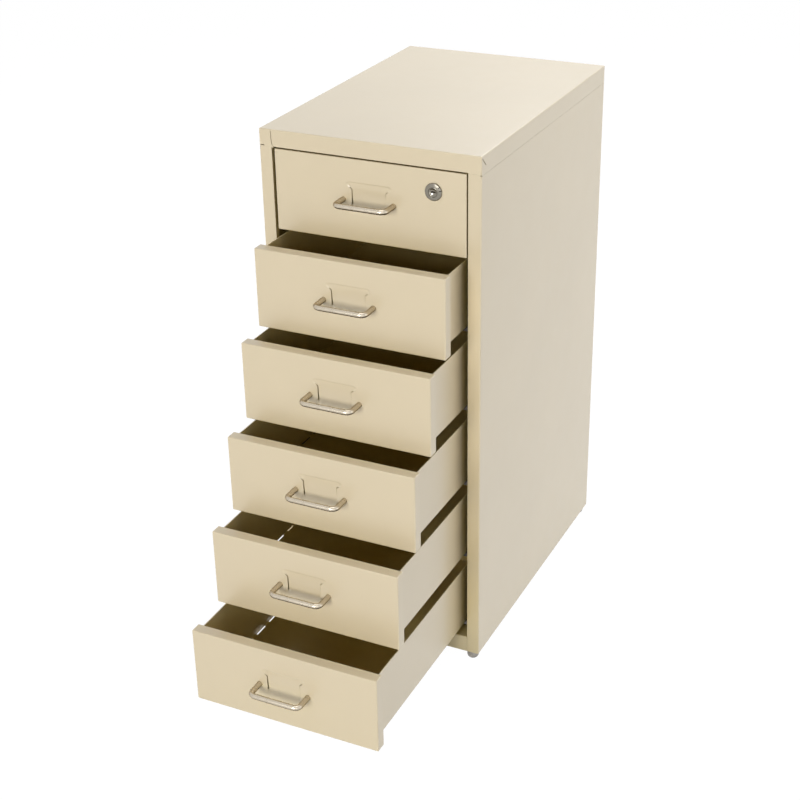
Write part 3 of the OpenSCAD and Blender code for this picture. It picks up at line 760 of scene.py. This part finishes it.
class CABINET_OT_lid(bpy.types.Operator):
    """Builds the lid with its wrapped corner, its corner slit and the fold behind its lip"""

    bl_idname = "cabinet.lid"
    bl_label = "Lid"

    def execute(self, context):
        sheet = context.scene.cabinet.sheet
        low, high = (Vector(corner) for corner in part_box("top_panel"))
        size = high - low
        mesh = lid_mesh(size.x, size.y, size.z, sheet)
        mesh = baked(mesh, "lid", ("SOLIDIFY", {"thickness": sheet.thickness, "offset": -1.0}))
        # Fold that stiffens the front lip and holds the lock's cam
        half, rise = 120 * MM, 9 * MM
        lip, front = size.z - sheet.front_lip, -size.y / 2
        back = front + 15 * MM
        add_boxes(mesh, [((-half, front + sheet.thickness / 2, lip),
                          (half, back, lip + sheet.thickness)),
                         ((-half, back - sheet.thickness, lip + sheet.thickness / 2),
                          (half, back, lip + rise))])
        mesh = baked(mesh, "lid", *softening(sheet.edge))
        add_piece("lid", mesh, "cream_powder_coat", "cabinet", ["top_panel"],
                  (0.0, (low.y + high.y) / 2, low.z))
        return {"FINISHED"}


class CABINET_OT_walls(bpy.types.Operator):
    """Paints the side panels, the back panel, the base pan and the trays"""

    bl_idname = "cabinet.walls"
    bl_label = "Walls and trays"

    def execute(self, context):
        edge = context.scene.cabinet.sheet.edge
        panels = ["left_side_panel", "right_side_panel", "back_panel", "base_pan"]
        for node in panels + [f"tray_{i}" for i in DRAWERS]:
            dress(node, "cream_powder_coat", edge)
        return {"FINISHED"}


class CABINET_OT_runners(bpy.types.Operator):
    """Finishes the runners, their glides, the lock's nut and its cam"""

    bl_idname = "cabinet.runners"
    bl_label = "Runners, glides and cam"

    def execute(self, context):
        rolled, cast, pressed = 0.1 * MM, 0.3 * MM, 0.2 * MM
        for i in DRAWERS:
            dress(f"runners_{i}", "zinc_plate", rolled)
            dress(f"front_glides_{i}", "grey_nylon", cast)
            dress(f"rear_glides_{i}", "grey_nylon", cast)
        for node in ("lock_nut", "lock_cam"):
            dress(node, "zinc_plate", pressed)
        return {"FINISHED"}


# Handles

def handle_mesh(handle):
    """Bow handle: x along the grip, y 0 at the drawer front, z 0 at the rod's middle."""
    steps, segments, bend = 10, 28, handle.bend
    path = [(Vector((-handle.span / 2, 0, 0)), Vector((0, -1, 0)))]
    for side, start in ((-1, 180), (1, 270)):
        centre = Vector((side * (handle.span / 2 - bend), bend - handle.reach, 0))
        for k in range(steps + 1):
            angle = math.radians(start + 90 * k / steps)
            out = Vector((math.cos(angle), math.sin(angle), 0))
            path.append((centre + bend * out, Vector((-out.y, out.x, 0))))
    path.append((Vector((handle.span / 2, 0, 0)), Vector((0, 1, 0))))
    bm = bmesh.new()
    rings = []
    for point, along in path:
        across, up = Vector((along.y, -along.x, 0)), Vector((0, 0, 1))
        rings.append([bm.verts.new(point + handle.rod / 2 * (x * across + y * up))
                      for x, y in circle(segments)])
    for first, second in zip(rings, rings[1:]):
        bridge(bm, first, second)
    bm.faces.new(rings[0][::-1])
    bm.faces.new(rings[-1])
    return smooth(outward_mesh(bm, "handle"), 35.0)


class CABINET_OT_handles(bpy.types.Operator):
    """Builds the six bow handles"""

    bl_idname = "cabinet.handles"
    bl_label = "Handles"

    def execute(self, context):
        mesh = handle_mesh(context.scene.cabinet.handle)
        for i in DRAWERS:
            low, high = (Vector(corner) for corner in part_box(f"handle_{i}"))
            add_piece(f"bow_{i}", mesh, "satin_nickel", f"drawer_{i}", [f"handle_{i}"],
                      (0.0, high.y, (low.z + high.z) / 2))
        return {"FINISHED"}


# Lock

def rosette_mesh(lock, barrel):
    """Lock's barrel and dished face: z 0 at the barrel's inner end, the face at its length."""
    radius, dish, body = lock.face / 2, lock.dish / 2, lock.barrel / 2
    bore = lock.plug / 2 + 0.05 * MM
    rim = 1.6 * MM
    crown = 0.5 * MM
    profile = [(bore, 0.0), (body - 0.4 * MM, 0.0), (body, 0.4 * MM),
               (body, barrel - 3.1 * MM), (radius - 0.3 * MM, barrel - 3.0 * MM),
               (radius, barrel - 2.7 * MM)]
    for k in range(9):
        angle = math.radians(90 * k / 8)
        profile.append((radius - rim + rim * math.cos(angle),
                        barrel - crown - rim + rim * math.sin(angle)))
    profile += [(dish, barrel - 0.4 * MM), (dish - 1.0 * MM, barrel - 0.22 * MM),
                (bore + 0.8 * MM, barrel), (bore + 0.3 * MM, barrel - 0.02 * MM),
                (bore, barrel - 0.4 * MM), (bore, 0.0)]
    bm, segments = bmesh.new(), 144
    rings = add_lathe(bm, profile, segments)
    # Two short grooves across the rim, at the upper right
    groove = 1.2 * MM
    for k in (15 * segments // 360, 40 * segments // 360):
        for (r, z), ring in zip(profile, rings):
            if z > barrel - rim and r > dish - 0.6 * MM:
                ring[k].co.z -= groove
    bmesh.ops.remove_doubles(bm, verts=bm.verts, dist=WELD)
    return smooth(outward_mesh(bm, "lock_rosette"))


def cylinder_mesh(lock, front):
    """Turning plug with its hollow face, key slot and the square end for the cam: z 0 at its
    inner end."""
    plug = lock.plug / 2
    half_w, half_l = lock.slot_width / 2, lock.slot_length / 2
    hollow = plug - 0.6 * MM
    segments, steps = 48, 7
    bm = bmesh.new()
    rings = add_lathe(bm, [(plug - 0.4 * MM, 1.7 * MM), (plug, 2.1 * MM),
                           (plug, front - 0.4 * MM), (plug - 0.12 * MM, front - 0.12 * MM),
                           (plug - 0.4 * MM, front), (hollow, front - 0.05 * MM)], segments)
    bm.faces.new(rings[0][::-1])
    # Hollow face: rings that change from the round edge to the key slot's outline
    previous = rings[-1]
    for step in range(1, steps + 1):
        share = step / steps
        ring = []
        for way in map(Vector, circle(segments)):
            slot = min(half_l / max(abs(way.x), 1e-9), half_w / max(abs(way.y), 1e-9))
            point = way * (hollow * (1 - share) + slot * share)
            sag = math.sqrt(lock.hollow ** 2 - point.length_squared)
            sag -= math.sqrt(lock.hollow ** 2 - hollow ** 2)
            ring.append(bm.verts.new((point.x, point.y, front - 0.05 * MM - sag)))
        bridge(bm, previous, ring)
        previous = ring
    low = [bm.verts.new((vertex.co.x, vertex.co.y, front - lock.slot_depth))
           for vertex in previous]
    bridge(bm, previous, low)
    bm.faces.new(low)
    square, square_top = 3.3 * MM, 1.8 * MM
    add_box(bm, (-square, -square, 0.0), (square, square, square_top))
    return smooth(outward_mesh(bm, "lock_cylinder"))


class CABINET_OT_lock(bpy.types.Operator):
    """Builds the lock's dished face and its plug with the key slot"""

    bl_idname = "cabinet.lock"
    bl_label = "Lock"

    def execute(self, context):
        lock = context.scene.cabinet.lock
        forward = Matrix.Rotation(math.radians(90), 4, "X")
        for name, node, body, make in (
            ("lock_rosette", "lock_body", "drawer_1", rosette_mesh),
            ("lock_cylinder", "lock_plug", "lock_turner", cylinder_mesh),
        ):
            low, high = (Vector(corner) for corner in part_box(node))
            mesh = make(lock, high.y - low.y)
            mesh.transform(forward)
            add_piece(name, mesh, "dull_chrome", body, [node],
                      ((low.x + high.x) / 2, high.y, (low.z + high.z) / 2))
        return {"FINISHED"}


# Feet and screws

def foot_bmesh(top):
    """Rounded foot glide with its barbed stem, z 0 at the floor."""
    flat, dome, stem, stem_length = 3.4 * MM, 5.2 * MM, 3.0 * MM, 6 * MM
    flange = top - stem_length
    profile = [(0.0, 0.0), (flat, 0.0)]
    for k in range(1, 10):
        angle = math.radians(10 * k)
        profile.append((flat + (FOOT_RADIUS - flat) * math.sin(angle),
                        dome * (1 - math.cos(angle))))
    profile += [(FOOT_RADIUS, flange - 0.5 * MM), (FOOT_RADIUS - 0.2 * MM, flange - 0.15 * MM),
                (FOOT_RADIUS - 0.7 * MM, flange), (stem, flange), (stem, flange + 0.7 * MM),
                (stem + 0.8 * MM, flange + 0.8 * MM), (stem, flange + 1.9 * MM),
                (stem, top - 0.4 * MM), (stem - 0.4 * MM, top), (0.0, top)]
    bm = bmesh.new()
    add_lathe(bm, profile, 48)
    return bm


class CABINET_OT_feet(bpy.types.Operator):
    """Builds the four feet"""

    bl_idname = "cabinet.feet"
    bl_label = "Feet"

    def execute(self, context):
        low, high = (Vector(corner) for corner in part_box("feet"))
        whole = bmesh.new()
        for x in (low.x + FOOT_RADIUS, high.x - FOOT_RADIUS):
            for y in (low.y + FOOT_RADIUS, high.y - FOOT_RADIUS):
                bm = foot_bmesh(high.z)
                bmesh.ops.translate(bm, vec=(x, y, 0.0), verts=bm.verts)
                merge(bm, whole)
        mesh = smooth(outward_mesh(whole, "foot_glides"))
        add_piece("foot_glides", mesh, "pale_polythene", "cabinet", ["feet"])
        return {"FINISHED"}


def screw_bmesh(length_mm):
    """Pan-head screw with a thread and a cross recess, z 0 under the head."""
    head, height, shank = 4.0, SCREW_HEAD / MM, 2.0
    pitch, thread, brim, shoulder = 0.7, 0.28, 0.35 * height, 1.2
    profile = [(0.0, -length_mm), (shank - 0.5, -length_mm), (shank, -length_mm + 0.6)]
    for k in range(int((length_mm - 1.5) / pitch)):
        z = -length_mm + 0.8 + pitch * k
        profile += [(shank - thread, z + 0.18), (shank, z + 0.42)]
    profile += [(shank, 0.0), (head, 0.0), (head, brim)]
    for k in range(1, 6):
        angle = math.radians(15 * k)
        profile.append((head - shoulder + shoulder * math.cos(angle),
                        brim + (height - brim) * math.sin(angle)))
    profile.append((head - 1.3, height))
    bm = bmesh.new()
    rings = add_lathe(bm, [(r * MM, z * MM) for r, z in profile], 32)
    arm, wide, depth, taper = 2.1, 0.42, 1.3, 0.55
    quarter = ((arm, -wide), (arm, wide), (wide, wide))
    cross = [point for x, y in ((1, 0), (0, 1), (-1, 0), (0, -1))
             for point in [(x * u - y * v, y * u + x * v) for u, v in quarter]]
    top = [bm.verts.new((u * MM, v * MM, height * MM)) for u, v in cross]
    low = [bm.verts.new((u * taper * MM, v * taper * MM, (height - depth) * MM))
           for u, v in cross]
    bridge(bm, top, low)
    bm.faces.new(low)
    # Face between the rim and the recess
    edges = [bm.edges.get(pair) for loop in (rings[-1], top)
             for pair in zip(loop, loop[1:] + loop[:1])]
    bmesh.ops.triangle_fill(bm, use_beauty=True, edges=edges)
    bmesh.ops.recalc_face_normals(bm, faces=bm.faces)
    return bm


def screws_mesh(name, places, matrix, length_mm):
    """One mesh with a screw at each place, turned by the matrix and each by its own angle."""
    whole = bmesh.new()
    for index, place in enumerate(places):
        bm = screw_bmesh(length_mm)
        turn = Matrix.Rotation(math.radians(37 * index + 15), 4, "Z")
        bmesh.ops.transform(bm, matrix=Matrix.Translation(place) @ matrix @ turn, verts=bm.verts)
        merge(bm, whole)
    return smooth(to_mesh(whole, name))


def islands(node):
    """Boxes of a CAD node's separate solids, as (low, high) pairs."""
    bm = bmesh.new()
    bm.from_mesh(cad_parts[node].data)
    bmesh.ops.remove_doubles(bm, verts=bm.verts, dist=WELD)
    left, boxes = set(bm.verts), []
    while left:
        stack, seen = [left.pop()], []
        while stack:
            vertex = stack.pop()
            seen.append(vertex.co.copy())
            for edge in vertex.link_edges:
                other = edge.other_vert(vertex)
                if other in left:
                    left.remove(other)
                    stack.append(other)
        boxes.append((Vector([min(c[k] for c in seen) for k in range(3)]),
                      Vector([max(c[k] for c in seen) for k in range(3)])))
    bm.free()
    return sorted(boxes, key=lambda box: tuple(box[0]))


class CABINET_OT_screws(bpy.types.Operator):
    """Builds the screws of the back panel, the base, the handles and the cam"""

    bl_idname = "cabinet.screws"
    bl_label = "Screws"

    def execute(self, context):
        groups = [("back_screws", "back_panel_screws", "cabinet"),
                  ("base_screws", "base_pan_screws", "cabinet"),
                  ("cam_screw", "cam_fixing_screw", "lock_turner")]
        groups += [(f"handle_screws_{i}", f"bow_screws_{i}", f"drawer_{i}") for i in DRAWERS]
        for node, name, body in groups:
            places = []
            for low, high in islands(node):
                middle, size = (low + high) / 2, high - low
                # The base's screws are driven from below, and the others from behind
                if node == "base_screws":
                    middle.z = low.z + SCREW_HEAD
                    turn, whole = 180, size.z
                else:
                    middle.y = high.y - SCREW_HEAD
                    turn, whole = -90, size.y
                places.append(middle)
            matrix = Matrix.Rotation(math.radians(turn), 4, "X")
            mesh = screws_mesh(name, places, matrix, (whole - SCREW_HEAD) / MM)
            add_piece(name, mesh, "zinc_plate", body, [node])
        return {"FINISHED"}


# Stage

def seen_directly(tree, share=1.0):
    """Socket that is the share where the camera sees the background, also in metal or through
    glass, and 0 for the light that the background would throw on the object."""
    path = tree.nodes.new("ShaderNodeLightPath")

    def step(operation, first, second):
        node = tree.nodes.new("ShaderNodeMath")
        node.operation = operation
        for socket, value in zip(node.inputs, (first, second)):
            if isinstance(value, float):
                socket.default_value = value
            else:
                tree.links.new(value, socket)
        return node.outputs[0]

    seen = step("MAXIMUM", path.outputs["Is Camera Ray"], path.outputs["Is Glossy Ray"])
    seen = step("MAXIMUM", seen, path.outputs["Is Transmission Ray"])
    unscattered = step("LESS_THAN", path.outputs["Diffuse Depth"], 0.5)
    return step("MULTIPLY", step("MULTIPLY", seen, unscattered), share)


def white_light(tree, kind, strength):
    """Socket of a white Background or Emission shader."""
    node = tree.nodes.new(kind)
    set_inputs(node, {"Color": (1.0, 1.0, 1.0, 1.0), "Strength": strength})
    return node.outputs[0]


def mix_shaders(tree, factor, first, second, surface):
    """Leads the mix of two shaders to the surface."""
    mix = tree.nodes.new("ShaderNodeMixShader")
    for socket, source in zip(mix.inputs, (factor, first, second)):
        tree.links.new(source, socket)
    tree.links.new(mix.outputs[0], surface)


class CABINET_OT_stage(bpy.types.Operator):
    """Builds the floor, the lamps, the world and the camera"""

    bl_idname = "cabinet.stage"
    bl_label = "Stage"

    LAMPS = (
        # name, azimuth, elevation, distance, size, power, seen in reflections
        ("front", 0, 15.5, 4.0, 1.38, 89.5, True),
        ("front_right", 35, 10, 2.6, 1.4, 6.0, True),
        ("right", 95, 10, 2.4, 1.4, 9.0, True),
        ("rear_right", 130, 15, 2.4, 1.4, 11.5, True),
        ("rear", 180, 50, 2.4, 1.4, 22.0, True),
        ("left", -95, 12, 2.4, 1.4, 12.0, False),
        ("top", 0, 88, 2.2, 1.0, 8.0, True),
    )

    def execute(self, context):
        scene = context.scene
        scene.view_settings.view_transform = "Standard"
        self.build_world(scene)
        self.build_floor(scene)
        middle = Vector((0.0, 0.0, 0.33))  # what the lamps are aimed at
        for name, azimuth, elevation, distance, size, power, reflected in self.LAMPS:
            lamp = bpy.data.lights.new(name, "AREA")
            lamp.shape = "SQUARE"
            lamp.size = size
            lamp.energy = power
            holder = new_object(name, lamp)
            a, e = math.radians(azimuth), math.radians(elevation)
            way = Vector((math.sin(a) * math.cos(e), -math.cos(a) * math.cos(e), math.sin(e)))
            holder.location = middle + way * distance
            holder.rotation_euler = way.to_track_quat("Z", "Y").to_euler()
            holder.visible_glossy = reflected
        self.build_camera(scene)
        return {"FINISHED"}

    def build_world(self, scene):
        """White where it is seen directly, dim as a light."""
        world = bpy.data.worlds.new("studio")
        scene.world = world
        world.use_nodes = True
        tree = world.node_tree
        tree.nodes.clear()
        faint = 0.005
        dim, white = (white_light(tree, "ShaderNodeBackground", strength)
                      for strength in (faint, 1.0))
        output = tree.nodes.new("ShaderNodeOutputWorld")
        mix_shaders(tree, seen_directly(tree), dim, white, output.inputs["Surface"])

    def build_floor(self, scene):
        """Pale floor that shows white and keeps a faint shadow."""
        bm = bmesh.new()
        bmesh.ops.create_grid(bm, x_segments=1, y_segments=1, size=12.0)
        mesh = to_mesh(bm, "floor")
        floor = new_object("floor", mesh)
        material, shader, tree = new_material("pale_floor")
        set_inputs(shader, {"Base Color": (*scene.cabinet.colours.floor, 1.0),
                            "Roughness": 0.9, "Specular IOR Level": 0.0})
        output = next(node for node in tree.nodes if node.type == "OUTPUT_MATERIAL")
        # The small rest that isn't glow is lit by the lamps, and shows the shadow
        glow_share, glow = 0.93, 1.07
        mix_shaders(tree, seen_directly(tree, glow_share), shader.outputs["BSDF"],
                    white_light(tree, "ShaderNodeEmission", glow), output.inputs["Surface"])
        mesh.materials.append(material)

    def build_camera(self, scene):
        """Camera to the right of the drawers, looking down on them."""
        settings = scene.cabinet.camera
        camera = bpy.data.cameras.new("camera")
        camera.lens = settings.lens
        camera.sensor_width = 36.0
        holder = new_object("camera", camera)
        turn = (Matrix.Rotation(settings.azimuth, 4, "Z")
                @ Matrix.Rotation(math.pi / 2 - settings.elevation, 4, "X")
                @ Matrix.Rotation(settings.roll, 4, "Z"))
        holder.matrix_world = Matrix.Translation(settings.place) @ turn
        scene.camera = holder


class CABINET_PT_panel(bpy.types.Panel):
    """Lists the cabinet's steps"""

    bl_idname = "CABINET_PT_panel"
    bl_label = "Drawer Cabinet"
    bl_space_type = "VIEW_3D"
    bl_region_type = "UI"
    bl_category = "Cabinet"

    def draw(self, context):
        for operator in OPERATORS:
            self.layout.operator(operator.bl_idname)


OPERATORS = (CABINET_OT_stage, CABINET_OT_lid, CABINET_OT_walls, CABINET_OT_drawer_fronts,
             CABINET_OT_handles, CABINET_OT_lock, CABINET_OT_runners, CABINET_OT_feet,
             CABINET_OT_screws)
CLASSES = (CABINET_PG_sheet, CABINET_PG_pocket, CABINET_PG_handle, CABINET_PG_lock,
           CABINET_PG_colours, CABINET_PG_camera, CABINET_PG_settings, *OPERATORS,
           CABINET_PT_panel)


def register():
    for cls in CLASSES:
        bpy.utils.register_class(cls)
    bpy.types.Scene.cabinet = PointerProperty(type=CABINET_PG_settings)


def unregister():
    del bpy.types.Scene.cabinet
    for cls in reversed(CLASSES):
        bpy.utils.unregister_class(cls)


def main():
    register()
    bpy.ops.cabinet.stage()
    bpy.ops.cabinet.lid()
    bpy.ops.cabinet.walls()
    bpy.ops.cabinet.drawer_fronts()
    bpy.ops.cabinet.handles()
    bpy.ops.cabinet.lock()
    bpy.ops.cabinet.runners()
    bpy.ops.cabinet.feet()
    bpy.ops.cabinet.screws()


if __name__ == "__main__":
    main()
